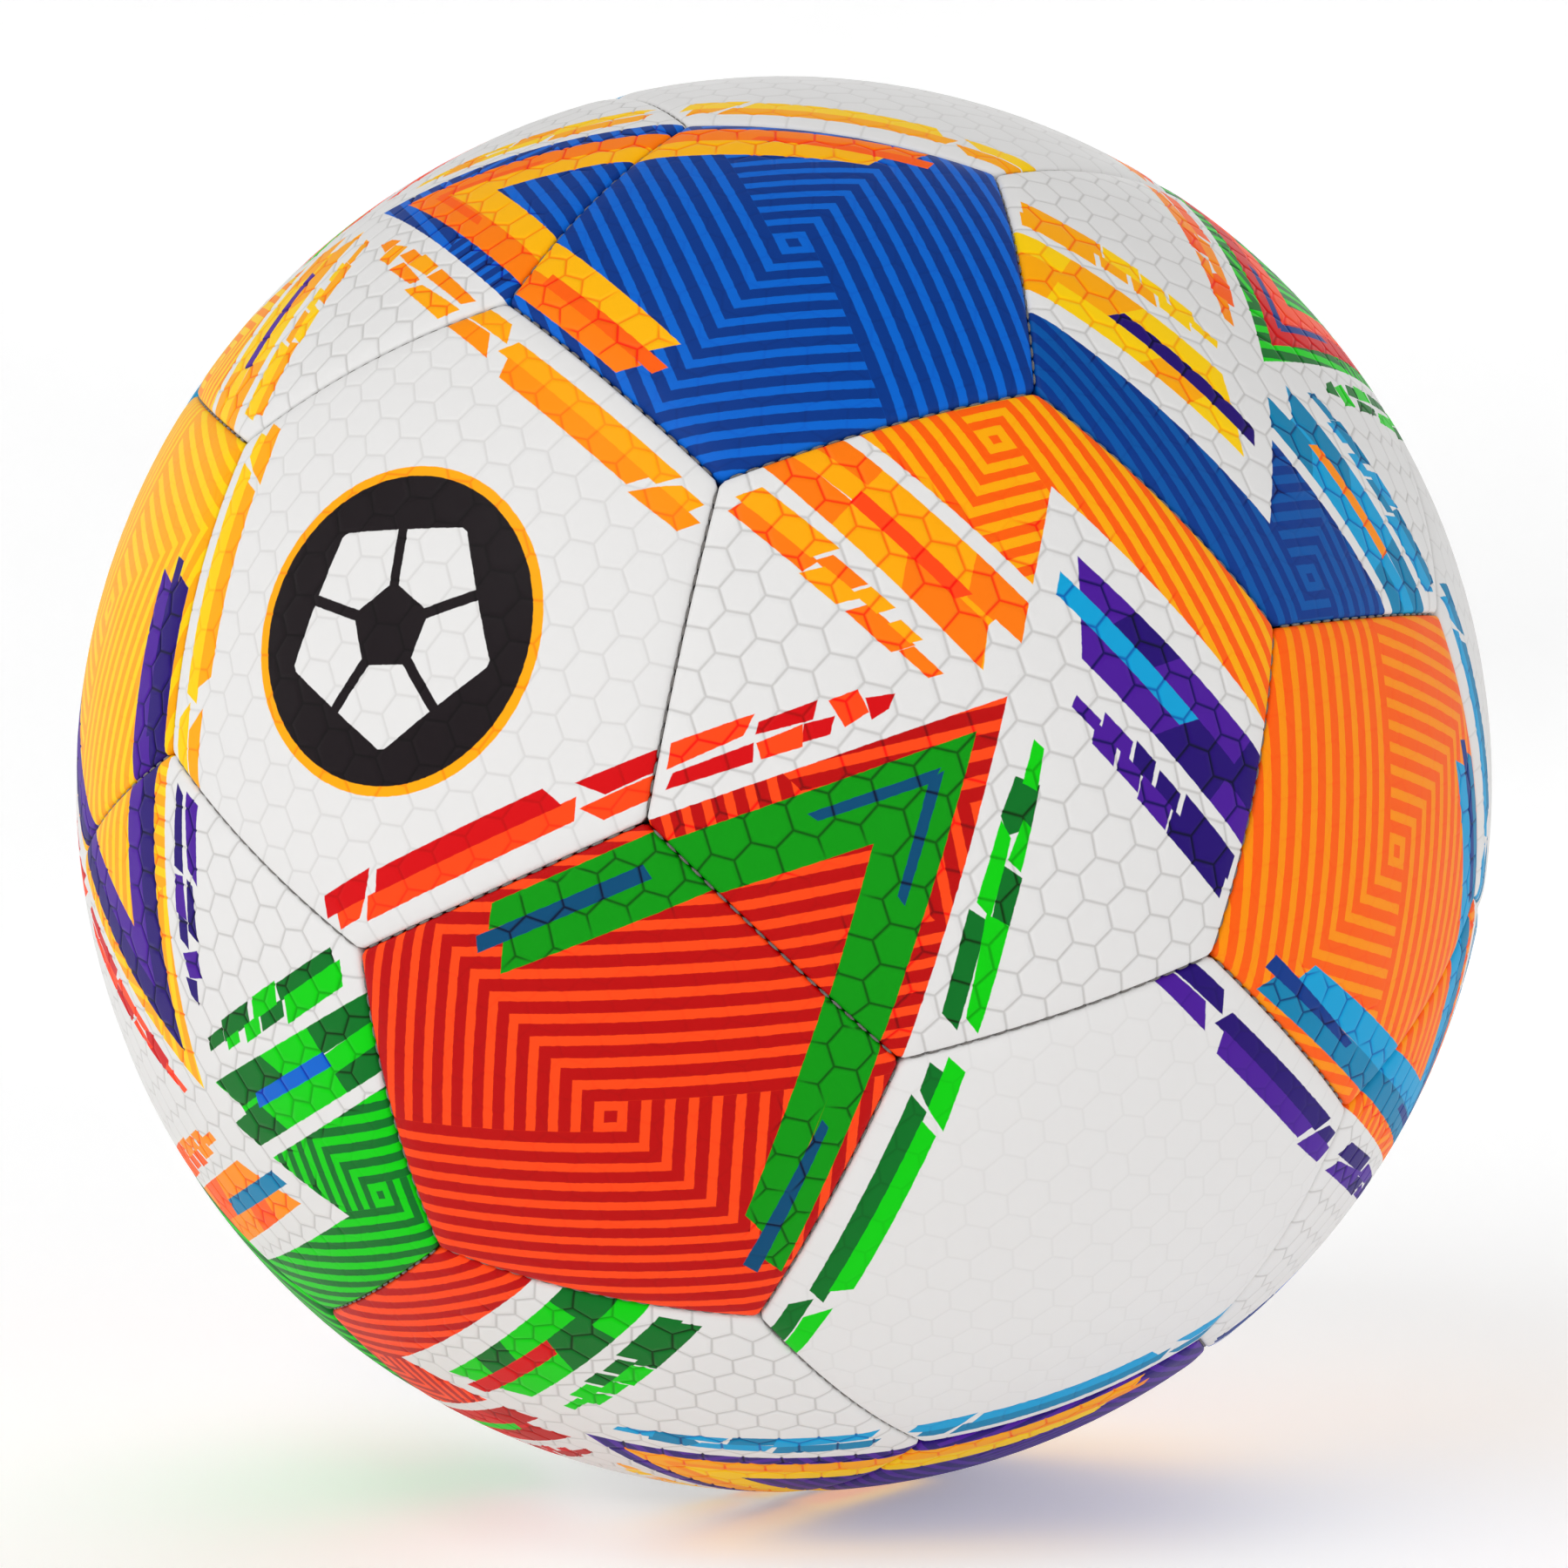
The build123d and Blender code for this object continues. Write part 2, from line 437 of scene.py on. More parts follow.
class Finish:
    """One material, with the shader's sockets and the nodes that feed them."""

    def __init__(self, name, **constants):
        self.material = bpy.data.materials.new(name)
        self.material.use_nodes = True
        self.tree = self.material.node_tree
        self.shader = self.tree.nodes["Principled BSDF"]
        for socket, value in constants.items():
            self.shader.inputs[socket.replace("_", " ")].default_value = value

    def node(self, kind, settings=None, inputs=None, output=0):
        """Adds a node, sets its settings first and then its sockets, and gives back one output."""
        node = self.tree.nodes.new("ShaderNode" + kind)
        for name, value in (settings or {}).items():
            setattr(node, name, value)
        for socket, value in (inputs or {}).items():
            self.feed(node.inputs[socket], value)
        return Value(self, node.outputs[output])

    def feed(self, socket, value):
        if isinstance(value, Value):
            self.tree.links.new(value.socket, socket)
        else:
            socket.default_value = value

    def over(self, below, above, mask):
        """One colour laid over another where the mask is 1."""
        return self.node("Mix", {"data_type": "RGBA"}, {0: mask, 6: below, 7: above}, output=2)

    def noise(self, place, scale, detail=2.0):
        return self.node("TexNoise", None, {"Vector": place, "Scale": scale, "Detail": detail})

    def finish_with(self, **values):
        for socket, value in values.items():
            self.feed(self.shader.inputs[socket.replace("_", " ")], value)
        return self.material


def ink(red, green, blue):
    """A screen colour, 0 to 255 a channel, as the linear colour that a node takes."""
    shades = [level / 255 for level in (red, green, blue)]
    linear = [s / 12.92 if s <= 0.04045 else ((s + 0.055) / 1.055) ** 2.4 for s in shades]
    return (*linear, 1.0)


# %% [markdown]
# ## Outlines in ink
# A convex outline is where a point lies on the inner side of each edge. One dot product with (x, y, 1)
# gives the distance to an edge's line, so an outline is the lowest of a few dot products. Several
# outlines in one ink join as the highest of theirs, and cost one colour mix together.

# %% Outlines
INK_BLUR = 0.1
INK_WOBBLE = 0.22
INK_SPREAD = 0.12
WOBBLE_SCALE = 0.9
SHEET_GLOSS = 0.12


def anticlockwise(corners):
    area = sum(a[0] * b[1] - b[0] * a[1] for a, b in zip(corners, corners[1:] + corners[:1]))
    return corners if area > 0 else corners[::-1]


class Print(Finish):
    """A finish with the panel's flat place, in millimetres, and inks laid over a white sheet."""

    def __init__(self, name):
        super().__init__(name, Specular_IOR_Level=SHEET_GLOSS)
        self.sheet_place = self.node("UVMap", {"uv_map": "print"})
        noise_inputs = {"Vector": self.sheet_place, "Scale": WOBBLE_SCALE, "Detail": 3.0}
        waver = self.node("TexNoise", None, noise_inputs, output=1)
        moving = {0: waver, 1: (INK_WOBBLE, INK_WOBBLE, 0), 2: self.sheet_place}
        moved = self.node("VectorMath", {"operation": "MULTIPLY_ADD"}, moving)
        centring = (-INK_WOBBLE / 2, -INK_WOBBLE / 2, 1)
        self.place = self.node("VectorMath", {"operation": "ADD"}, {0: moved, 1: centring})
        self.colour = WHITE

    def line(self, point, angle):
        """Distance from the line through a point at an angle, positive on its left."""
        across = math.radians(angle + 90)
        normal = (math.cos(across), math.sin(across))
        shift = -normal[0] * point[0] - normal[1] * point[1]
        vectors = {0: self.place, 1: (*normal, shift)}
        return self.node("VectorMath", {"operation": "DOT_PRODUCT"}, vectors, output=1)

    def inside(self, *corners):
        """How far inside a convex outline."""
        distance = None
        corners = anticlockwise(corners)
        for (x, y), (next_x, next_y) in zip(corners, corners[1:] + corners[:1]):
            edge = self.line((x, y), math.degrees(math.atan2(next_y - y, next_x - x)))
            distance = edge if distance is None else distance.lower(edge)
        return distance

    def any_of(self, *outlines):
        """Several outlines joined."""
        joined = None
        for corners in outlines:
            part = self.inside(*corners)
            joined = part if joined is None else joined.higher(part)
        return joined

    def mask(self, distance):
        return distance.maths("MULTIPLY_ADD", 1 / INK_BLUR, 0.5 + INK_SPREAD / INK_BLUR, clamp=True)

    def lay(self, colour, distance):
        """Lays an ink over what is there, where the distance is positive."""
        self.colour = self.over(self.colour, colour, self.mask(distance))


def bar(left, right, bottom, top, lean=0.0):
    """Corners of a level bar whose ends lean: positive leans to the right as it rises."""
    slip = lean * (top - bottom)
    return ((left, bottom), (right, bottom), (right + slip, top), (left + slip, top))


# %% [markdown]
# ## The striped ground
# Every striped area of the ball, on a pentagon or in the lower corner of a hexagon, is one drawing:
# strokes in two directions fold round a small diamond. On one side of a fold the stroke follows the
# distance from one line, on the other side the distance from the other.

# %% Stripes
FOLD = 101.5


def stroke_distance(ink_print, centre, turn, pitch, share):
    """Positive inside a light stroke of the folded stripes."""
    first = ink_print.line(centre, turn)
    second = ink_print.line(centre, turn - FOLD + 180)
    diamond = pitch * (1 + share) / 2
    crossing = first * second.maths("SIGN")
    in_wedge = crossing.maths("GREATER_THAN", -diamond) * crossing.maths("LESS_THAN", abs(second))
    folded = abs(first) + (abs(second) - abs(first)) * in_wedge
    ring = abs(first).higher(abs(second))
    phase = folded + (ring - folded) * ring.maths("LESS_THAN", diamond)
    return stroke_width(phase, pitch, share)


def stroke_width(phase, pitch, share):
    """Turns a growing distance into strokes, each a share of the pitch wide."""
    return phase.maths("PINGPONG", pitch / 2) - (pitch * (1 - share) / 2 + INK_SPREAD)


# %% [markdown]
# ## The inks
# Six colour families, each named for the pentagon that wears it. A family gives the chevron's ground
# and arms, and the inks of the bars in the hexagon that its chevron points into.

# %% Ink families
WHITE = ink(228, 227, 226)
BLACK = ink(24, 16, 20)
DARK_RED, RED = ink(188, 0, 0), ink(214, 0, 8)
ORANGE_RED, DEEP_ORANGE, ORANGE = ink(255, 72, 16), ink(255, 96, 4), ink(255, 146, 0)
AMBER, YELLOW = ink(255, 170, 2), ink(255, 208, 4)
DARK_GREEN, GREEN, LIGHT_GREEN = ink(0, 112, 34), ink(2, 150, 8), ink(0, 208, 4)
NAVY, BLUE, LIGHT_BLUE = ink(0, 54, 136), ink(0, 84, 164), ink(0, 100, 206)
TEAL, CYAN = ink(2, 130, 176), ink(4, 160, 214)
DARK_PURPLE, PURPLE = ink(34, 2, 112), ink(74, 20, 152)

FAMILIES = {
    "red": {"ground": (DARK_RED, ORANGE_RED), "arms": (GREEN, GREEN), "thin_line": ink(0, 74, 116),
            "left_chain": (DARK_GREEN, LIGHT_GREEN), "right_chain": (RED, ORANGE_RED),
            "left_bars": (DARK_PURPLE, PURPLE), "left_strip": CYAN,
            "right_bars": (ink(255, 122, 6), AMBER), "right_strip": ORANGE_RED,
            "corner": (DEEP_ORANGE, AMBER)},
    "green": {"ground": (DARK_GREEN, LIGHT_GREEN), "arms": (RED, ORANGE_RED), "thin_line": NAVY,
              "left_chain": (DEEP_ORANGE, ORANGE), "right_chain": (DARK_GREEN, LIGHT_GREEN),
              "left_bars": (AMBER, YELLOW), "left_strip": DARK_PURPLE,
              "right_bars": (TEAL, CYAN), "right_strip": ORANGE, "corner": (NAVY, BLUE)},
    "blue": {"ground": (NAVY, LIGHT_BLUE), "arms": (ink(255, 126, 0), ink(255, 184, 0)),
             "thin_line": DEEP_ORANGE,
             "left_chain": (AMBER, YELLOW), "right_chain": (ORANGE, AMBER),
             "left_bars": (RED, ORANGE_RED), "left_strip": LIGHT_GREEN,
             "right_bars": (AMBER, YELLOW), "right_strip": PURPLE, "corner": (ORANGE, YELLOW)},
    "yellow": {"ground": (AMBER, YELLOW), "arms": (DARK_PURPLE, PURPLE), "thin_line": DARK_PURPLE,
               "left_chain": (RED, ORANGE_RED), "right_chain": (DARK_PURPLE, PURPLE),
               "left_bars": (DEEP_ORANGE, ORANGE), "left_strip": TEAL,
               "right_bars": (DARK_GREEN, LIGHT_GREEN), "right_strip": LIGHT_BLUE,
               "corner": (DARK_GREEN, LIGHT_GREEN), "right_row": (AMBER, YELLOW)},
    "purple": {"ground": (DARK_PURPLE, PURPLE), "arms": (AMBER, YELLOW), "thin_line": ORANGE,
               "left_chain": (TEAL, CYAN), "right_chain": (AMBER, YELLOW),
               "left_bars": (DARK_GREEN, LIGHT_GREEN), "left_strip": RED,
               "right_bars": (DARK_RED, RED), "right_strip": LIGHT_GREEN, "corner": (DARK_RED, ORANGE_RED)},
    "orange": {"ground": (DEEP_ORANGE, ORANGE), "arms": (TEAL, CYAN), "thin_line": NAVY,
               "left_chain": (DARK_PURPLE, PURPLE), "right_chain": (TEAL, CYAN),
               "left_bars": (NAVY, LIGHT_BLUE), "left_strip": ORANGE,
               "right_bars": (DARK_PURPLE, PURPLE), "right_strip": YELLOW, "corner": (TEAL, CYAN)},
}
PENTAGON_FAMILIES = ("blue", "green", "purple", "yellow", "red", "orange",
                     "red", "orange", "green", "purple", "yellow", "blue")
print(f"{len(FAMILIES)} ink families")

# %% [markdown]
# ## What all printed sheets share
# Under the inks the sheet is white, with a very fine leather grain that breaks up its shine. The sheet is
# matt, so its highlight is wide and weak, and it varies a little over a panel. In the grooves of the
# honeycomb the colour is multiplied by itself: painted shade, which darkens an ink without greying it.
# The panel's own groove value says where they are.

# %% Sheet finish
GROOVE_SHADE = 1.15
PATCH_SCALE, GRAIN_SCALE = 0.12, 4.5
SHEET_ROUGHNESS, ROUGHNESS_SPREAD = 0.42, 0.16
GRAIN_STRENGTH, GRAIN_HEIGHT = 0.12, 0.0001


def sheet_finish(ink_print):
    """Adds painted shade in the grooves, uneven gloss and grain to a finished print."""
    groove = ink_print.node("Attribute", {"attribute_name": "groove"}, output=2)
    # Painted shade: in the grooves the colour is multiplied by itself, darker where the groove value is
    # higher.
    shade = (groove * GROOVE_SHADE).lower(1.0)
    colours = {0: shade, 6: ink_print.colour, 7: ink_print.colour}
    shaded = ink_print.node("Mix", {"data_type": "RGBA", "blend_type": "MULTIPLY"}, colours, output=2)
    patches = ink_print.noise(ink_print.sheet_place, PATCH_SCALE)
    roughness = SHEET_ROUGHNESS + patches * ROUGHNESS_SPREAD
    grain = ink_print.noise(ink_print.sheet_place, GRAIN_SCALE)
    relief = {"Strength": GRAIN_STRENGTH, "Distance": GRAIN_HEIGHT, "Height": grain}
    bump = ink_print.node("Bump", None, relief)
    return ink_print.finish_with(Base_Color=shaded, Roughness=roughness, Normal=bump)


# %% [markdown]
# ## Pentagon print
# The whole pentagon is striped. The two arms of the chevron come in over the upper seam, each of two
# strips with a thin line between them, cut off at a slant near the middle.

# %% Pentagon print
PENTAGON_STRIPE = {"centre": (1.1, 0.1), "turn": 50.0, "pitch": 2.85, "share": 0.44}
PENTAGON_ARMS = (
    ((-20.3, 30.8), (-27.7, 8.5), (-25.6, 6.1), (-15.4, 30.8)),
    ((18.5, 30.8), (14.0, 30.8), (28.3, -2.2), (31.8, -2.6)),
)
PENTAGON_INNER_ARMS = (
    ((-15.4, 30.8), (-24.2, 7.6), (-20.6, 3.3), (-10.2, 30.8)),
    ((14.0, 30.8), (9.0, 30.8), (22.1, 1.5), (26.4, 0.8)),
)
PENTAGON_LINES = (
    ((-18.3, 26.4), (-26.0, 4.0), (-24.5, 2.8), (-16.5, 26.0)),
    ((21.0, 17.8), (19.9, 18.0), (27.3, -4.8), (29.4, -4.6)),
)


def pentagon_print(colour):
    """Stripes all over, and the chevron's two arms."""
    family = FAMILIES[colour]
    sheet = Print(f"{colour}_pentagon_print")
    dark, light = family["ground"]
    sheet.colour = dark
    sheet.lay(light, stroke_distance(sheet, **PENTAGON_STRIPE))
    sheet.lay(family["arms"][0], sheet.any_of(*PENTAGON_ARMS))
    sheet.lay(family["arms"][1], sheet.any_of(*PENTAGON_INNER_ARMS))
    sheet.lay(family["thin_line"], sheet.any_of(*PENTAGON_LINES))
    return sheet_finish(sheet)


# %% [markdown]
# ## Chevron hexagon print
# From the top: the chevron's tip with its striped border, a chain of short bars down each side, a
# broken row and a broad checked band on each side, and a striped ground with a diamond in one corner.
# The strokes of the border run one way, and in two stretches of it they turn and cross that way. An
# outline reaches past the seams, where the panel ends anyway.

# %% Chevron hexagon print
TIP_STRIPE = {"pitch": 2.85, "share": 0.44}
TIP_TURN = 56.0
CORNER_STRIPE = {"centre": (21.5, -27.4), "turn": 162.0, "pitch": 2.5, "share": 0.5}
SEAM_Y = 39.0
BORDER = ((-22.4, SEAM_Y), (0, -2.5), (22.4, SEAM_Y))
BORDER_CROSSED = (bar(3.0, 30.0, 22.0, 46.0), bar(-20.0, 0.0, 9.5, 22.0))
ARMS = ((-18.6, SEAM_Y), (0, 3.0), (18.8, SEAM_Y))
ARMS_MIDDLE = ((-14.1, SEAM_Y), (0, 11.9), (14.2, SEAM_Y))
ARMS_INSIDE = ((-9.6, SEAM_Y), (0, 20.8), (9.6, SEAM_Y))
THIN_V = (((-7.6, 23.2), (-0.3, 9.0), (0.2, 10.6), (-6.4, 23.0)),
          ((7.8, 23.2), (6.6, 23.0), (-0.2, 10.4), (0.3, 9.0)))
LEFT_CHAIN_LIGHT = (
    ((-26.2, 28.6), (-18.8, 16.6), (-15.8, 17.3), (-23.6, 28.2)),
    ((-16.2, 17.2), (-11.4, 9.0), (-9.3, 8.4), (-13.8, 17.0)),
    ((-15.0, 10.8), (-12.4, 6.5), (-11.2, 6.4), (-13.0, 10.8)),
    ((-9.8, 2.7), (-7.2, -1.2), (-5.8, -1.2), (-8.1, 3.2)),
)
LEFT_CHAIN_DARK = (
    ((-23.8, 30.1), (-16.3, 17.9), (-13.8, 18.4), (-20.9, 29.8)),
    ((-18.7, 16.4), (-15.7, 11.4), (-13.0, 11.9), (-16.6, 17.1)),
    ((-12.3, 6.4), (-9.7, 2.2), (-7.0, 3.4), (-8.8, 7.8), (-10.8, 8.9)),
)
RIGHT_CHAIN_DARK = (
    ((22.7, 33.2), (17.0, 23.4), (18.3, 21.8), (23.3, 31.3)),
    ((18.8, 20.6), (15.0, 14.8), (16.0, 13.0), (19.4, 19.4)),
    ((14.1, 17.6), (12.4, 14.7), (13.3, 13.0), (15.2, 15.9)),
    ((9.9, 10.0), (9.3, 7.9), (9.9, 6.3), (11.9, 8.8)),
)
RIGHT_CHAIN_LIGHT = (
    ((24.3, 31.3), (19.9, 21.8), (20.6, 19.3), (25.9, 28.7)),
    ((16.4, 22.3), (13.8, 18.0), (15.4, 16.2), (17.9, 21.4)),
    ((11.6, 12.8), (10.8, 9.8), (13.3, 8.8), (14.9, 11.9)),
)
RIGHT_ROW_DARK = (
    bar(7.4, 11.8, 0.6, 2.0, 0.6),
    bar(12.0, 19.0, 0.4, 2.7, 0.6),
    bar(20.9, 26.2, -1.4, 0.4, 0.6),
    bar(27.2, 39.6, 0.4, 2.4, 0.3),
)
RIGHT_ROW_LIGHT = (
    bar(11.8, 15.0, -0.7, 0.4, 0.6),
    bar(16.6, 20.2, -1.4, 0.4, 0.6),
    bar(20.4, 26.0, 0.4, 2.8, 0.7),
    bar(26.4, 39.0, -2.5, 0.4, 0.6),
)
LEFT_ROW_DARK = (
    bar(-37.2, -24.9, -8.0, -5.5, -0.5),
    bar(-36.4, -25.0, -10.6, -8.0, -0.5),
    bar(-24.2, -20.2, -10.0, -8.0, -0.5),
    bar(-18.9, -15.5, -10.3, -8.0, -0.6),
)
LEFT_ROW_LIGHT = (
    bar(-24.3, -18.9, -8.0, -5.6, -0.5),
    bar(-18.3, -14.6, -8.0, -6.1, -0.6),
    bar(-13.6, -10.0, -8.2, -6.1, -0.6),
    bar(-15.0, -10.2, -9.8, -8.0, -0.5),
    bar(-10.2, -6.2, -8.7, -7.5, -0.3),
)
RIGHT_BAND = (
    ((4.3, -3.1), (7.2, -7.4), (44.0, -8.6), (44.0, -5.2)),
    ((7.2, -7.4), (28.8, -8.0), (28.8, -9.6), (7.0, -9.0)),
    ((3.0, -8.7), (5.3, -12.8), (44.0, -14.6), (44.0, -8.4), (20.0, -8.6)),
)
RIGHT_BAND_DARK = (
    ((4.3, -2.6), (7.2, -7.4), (19.6, -7.6), (16.6, -2.6)),
    ((2.8, -8.4), (5.3, -13.2), (13.6, -13.4), (11.0, -8.4)),
    ((29.1, -3.0), (29.1, -8.3), (46.0, -8.3), (46.0, -3.0)),
    ((29.1, -11.3), (29.1, -15.2), (46.0, -15.2), (46.0, -11.3)),
)
RIGHT_STRIP = ((12.0, -7.3), (11.0, -8.9), (29.1, -10.0), (29.1, -8.1))
LEFT_BAND = ((-44.0, -12.7), (-44.0, -23.0), (-30.0, -22.7), (5.2, -23.1), (-3.8, -12.7))
LEFT_BAND_DARK = (
    ((-28.0, -12.0), (-28.0, -18.5), (-20.0, -18.5), (-16.4, -12.0)),
    ((-46.0, -16.4), (-46.0, -24.0), (-28.0, -24.0), (-28.0, -16.4)),
    ((-14.0, -24.0), (-11.0, -18.4), (-4.0, -18.4), (-6.0, -24.0)),
)
LEFT_STRIP = ((-18.3, -16.2), (-19.8, -18.5), (4.7, -18.8), (3.4, -16.4))
LEVEL_GROUND = ((-46.0, -26.3), (-46.0, -40.0), (46.0, -40.0), (12.6, -27.3))
CORNER_GROUND = ((6.5, -15.2), (12.6, -27.3), (46.0, -40.0), (46.0, -16.8))


def border_ground(sheet, family, turn):
    """The chevron's striped ground, with straight strokes at an angle."""
    dark, light = family["ground"]
    strokes = stroke_width(abs(sheet.line((0, 0), turn)), **TIP_STRIPE)
    return sheet.over(dark, light, sheet.mask(strokes))


def band(sheet, family, side, outlines, dark_parts):
    """A broad band: its light ink, and blocks of the dark one inside it."""
    dark, light = family[f"{side}_bars"]
    shape = sheet.any_of(*outlines)
    sheet.lay(light, shape)
    sheet.lay(dark, sheet.any_of(*dark_parts).lower(shape))


def hexagon_ground(sheet, family):
    """The striped lower side: a level part on the left and the corner with the diamond."""
    dark, light = family["corner"]
    striped = sheet.over(dark, light, sheet.mask(stroke_distance(sheet, **CORNER_STRIPE)))
    sheet.lay(striped, sheet.any_of(LEVEL_GROUND, CORNER_GROUND))


def chevron_print(colour):
    """All of the motif's inks, from the chevron's tip down."""
    family = FAMILIES[colour]
    sheet = Print(f"{colour}_chevron_hexagon_print")
    ground = border_ground(sheet, family, TIP_TURN)
    crossed = border_ground(sheet, family, TIP_TURN + 90)
    border = sheet.inside(*BORDER)
    sheet.lay(ground, border)
    sheet.lay(crossed, sheet.any_of(*BORDER_CROSSED).lower(border))
    sheet.lay(family["arms"][0], sheet.inside(*ARMS))
    sheet.lay(family["arms"][1], sheet.inside(*ARMS_MIDDLE))
    sheet.lay(family["thin_line"], sheet.any_of(*THIN_V))
    sheet.lay(ground, sheet.inside(*ARMS_INSIDE))
    for side, shapes in (("left_chain", (LEFT_CHAIN_DARK, LEFT_CHAIN_LIGHT)),
                         ("right_chain", (RIGHT_CHAIN_DARK, RIGHT_CHAIN_LIGHT)),
                         ("left_bars", (LEFT_ROW_DARK, LEFT_ROW_LIGHT)),
                         ("right_bars", (RIGHT_ROW_DARK, RIGHT_ROW_LIGHT))):
        for tone, outlines in zip(family[side], shapes):
            sheet.lay(tone, sheet.any_of(*outlines))
    band(sheet, family, "right", RIGHT_BAND, RIGHT_BAND_DARK)
    band(sheet, family, "left", (LEFT_BAND,), LEFT_BAND_DARK)
    sheet.lay(family["right_strip"], sheet.inside(*RIGHT_STRIP))
    sheet.lay(family["left_strip"], sheet.inside(*LEFT_STRIP))
    hexagon_ground(sheet, family)
    return sheet_finish(sheet)


# %% [markdown]
# ## Plain hexagon print
# White, with one broken row of two-tone bars along each of its three pentagons. The shapes are drawn
# once, for the seam at the top, and the flat place is turned by a third of a turn for the others.

# %% Plain hexagon print
ROW_OUTER = (
    ((13.6, 29.7), (-11.3, 29.3), (-12.8, 32.0), (15.1, 32.2)),
    ((23.0, 29.7), (14.8, 29.1), (17.2, 32.2), (24.3, 32.4)),
    ((-15.8, 30.3), (-27.3, 30.5), (-26.2, 32.8), (-18.7, 33.0)),
)
ROW_NEAR_SEAM = (
    ((16.5, 32.3), (-14.9, 32.0), (-13.7, 34.5), (18.2, 35.1)),
    ((22.2, 32.4), (17.2, 32.2), (19.3, 34.3), (23.0, 34.5)),
    ((-15.2, 33.5), (-26.0, 33.3), (-24.5, 35.9), (-17.4, 35.9)),
)


def turned(corners, degrees):
    """An outline turned about the panel's centre."""
    turn = turn_about("Z", degrees)
    return tuple((turn @ Vector((*corner, 0))).xy[:] for corner in corners)


def plain_print(name, rows):
    """White with three rows; each row is its turn and its two inks, seam side first."""
    sheet = Print(name)
    for degrees, near_seam, outer in rows:
        for tone, outlines in ((near_seam, ROW_NEAR_SEAM), (outer, ROW_OUTER)):
            sheet.lay(tone, sheet.any_of(*[turned(shape, degrees) for shape in outlines]))
    return sheet


# %% [markdown]
# ## The roundel
# One plain hexagon carries a black badge with an amber edge. It is drawn here as a ball pictogram: a
# pentagon, five spokes to its corners and five dark patches at the rim. All of it comes from a point's
# distance and direction from the centre, with the direction folded into one tenth of the circle.

# %% Roundel
ROUNDEL_RADIUS, ROUNDEL_EDGE, ROUNDEL_DROP = 19.0, 1.3, 3.0
PICTOGRAM_RADIUS, PICTOGRAM_CENTRE, SPOKE, RIM_PATCH = 14.5, 4.4, 0.55, 12.2
RIM_OVERLAP = 1
TENTH = math.radians(36)


def lay_roundel(sheet, up_degrees):
    """The badge, a little below the panel's centre, upright on the ball."""
    up = math.radians(up_degrees)
    centre = (-ROUNDEL_DROP * math.cos(up), -ROUNDEL_DROP * math.sin(up))
    height = sheet.line(centre, up_degrees - 90)
    side = sheet.line(centre, up_degrees)
    radius = (height * height + side * side).maths("SQRT")
    fold = side.maths("ARCTAN2", height).maths("PINGPONG", TENTH)
    pentagon = PICTOGRAM_CENTRE - radius * (TENTH - fold).maths("COSINE")
    spokes = SPOKE - radius * fold.maths("SINE")
    patches = radius * fold.maths("COSINE") - RIM_PATCH
    sheet.lay(AMBER, ROUNDEL_RADIUS + ROUNDEL_EDGE - radius)
    sheet.lay(BLACK, ROUNDEL_RADIUS - radius)
    sheet.lay(WHITE, PICTOGRAM_RADIUS - radius)
    sheet.lay(BLACK, pentagon.higher(spokes).higher(patches).lower(PICTOGRAM_RADIUS + RIM_OVERLAP - radius))


# %% [markdown]
# ## Making the 32 panels
# Each panel takes its outline, its upright frame and its print. The honeycomb is pressed through the
# inks. It is deepest round the chevrons and bars, shallow in the striped grounds, and between the two on
# the plain hexagons, one of which is nearly smooth.

# %% Panels
ROUNDEL_PANEL, VALVE_PANEL, SMOOTH_PANEL = 4, 10, 13
SHALLOW, PLAIN_DEPTH, SMOOTH_DEPTH = 0.12, 0.5, 0.2
LEVEL_GROUND_TOP = -26.5
CORNER_GROUND_LEFT, CORNER_GROUND_TOP = 12, -16


def contains(corners, place):
    """Whether a flat point lies in a convex outline."""
    corners = anticlockwise(corners)
    return all((b[0] - a[0]) * (place.y - a[1]) >= (b[1] - a[1]) * (place.x - a[0])
               for a, b in zip(corners, corners[1:] + corners[:1]))


def pentagon_emboss(place):
    arms = PENTAGON_ARMS + PENTAGON_INNER_ARMS
    return 1.0 if any(contains(arm, place) for arm in arms) else SHALLOW


def chevron_emboss(place):
    on_tip_stripes = contains(ARMS_INSIDE, place)
    on_corner = place.x > CORNER_GROUND_LEFT and place.y < CORNER_GROUND_TOP
    on_ground = place.y < LEVEL_GROUND_TOP or on_corner
    return SHALLOW if on_tip_stripes or on_ground else 1.0


def even_emboss(depth):
    """The same depth all over a panel."""
    return lambda place: depth


def local_angle(panel_frame, direction):
    """Direction on a panel, in degrees from its x axis."""
    local = panel_frame.transposed() @ direction
    return math.degrees(math.atan2(local.y, local.x))


def row_inks(pentagon, hexagon_centre):
    """Inks of a plain hexagon's row: those of the chain on the same side of the pentagon's chevron."""
    family = FAMILIES[PENTAGON_FAMILIES[pentagon]]
    towards = HEXAGON_CENTRES[HEXAGON_OF[pentagon + 1] - 1]
    beside = upright_frame(AXES[pentagon], towards).transposed() @ hexagon_centre
    if beside.x > 0:
        return family["left_chain"]
    return family.get("right_row", family["right_chain"])[::-1]


def plain_material(number, panel_frame):
    """The print of one plain hexagon, with its roundel if it has one."""
    centre = HEXAGON_CENTRES[number - 1]
    rows = [(local_angle(panel_frame, AXES[p]) - 90, *row_inks(p, centre)) for p in HEXAGONS[number - 1]]
    sheet = plain_print(f"plain_hexagon_print_{number:02}", rows)
    if number == ROUNDEL_PANEL:
        lay_roundel(sheet, local_angle(panel_frame, Vector((0, 0, 1))))
    return sheet_finish(sheet)


def place_panel(panel, material, node):
    """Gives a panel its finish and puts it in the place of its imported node."""
    panel.data.materials.append(material)
    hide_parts(node)
    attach(panel, "root")


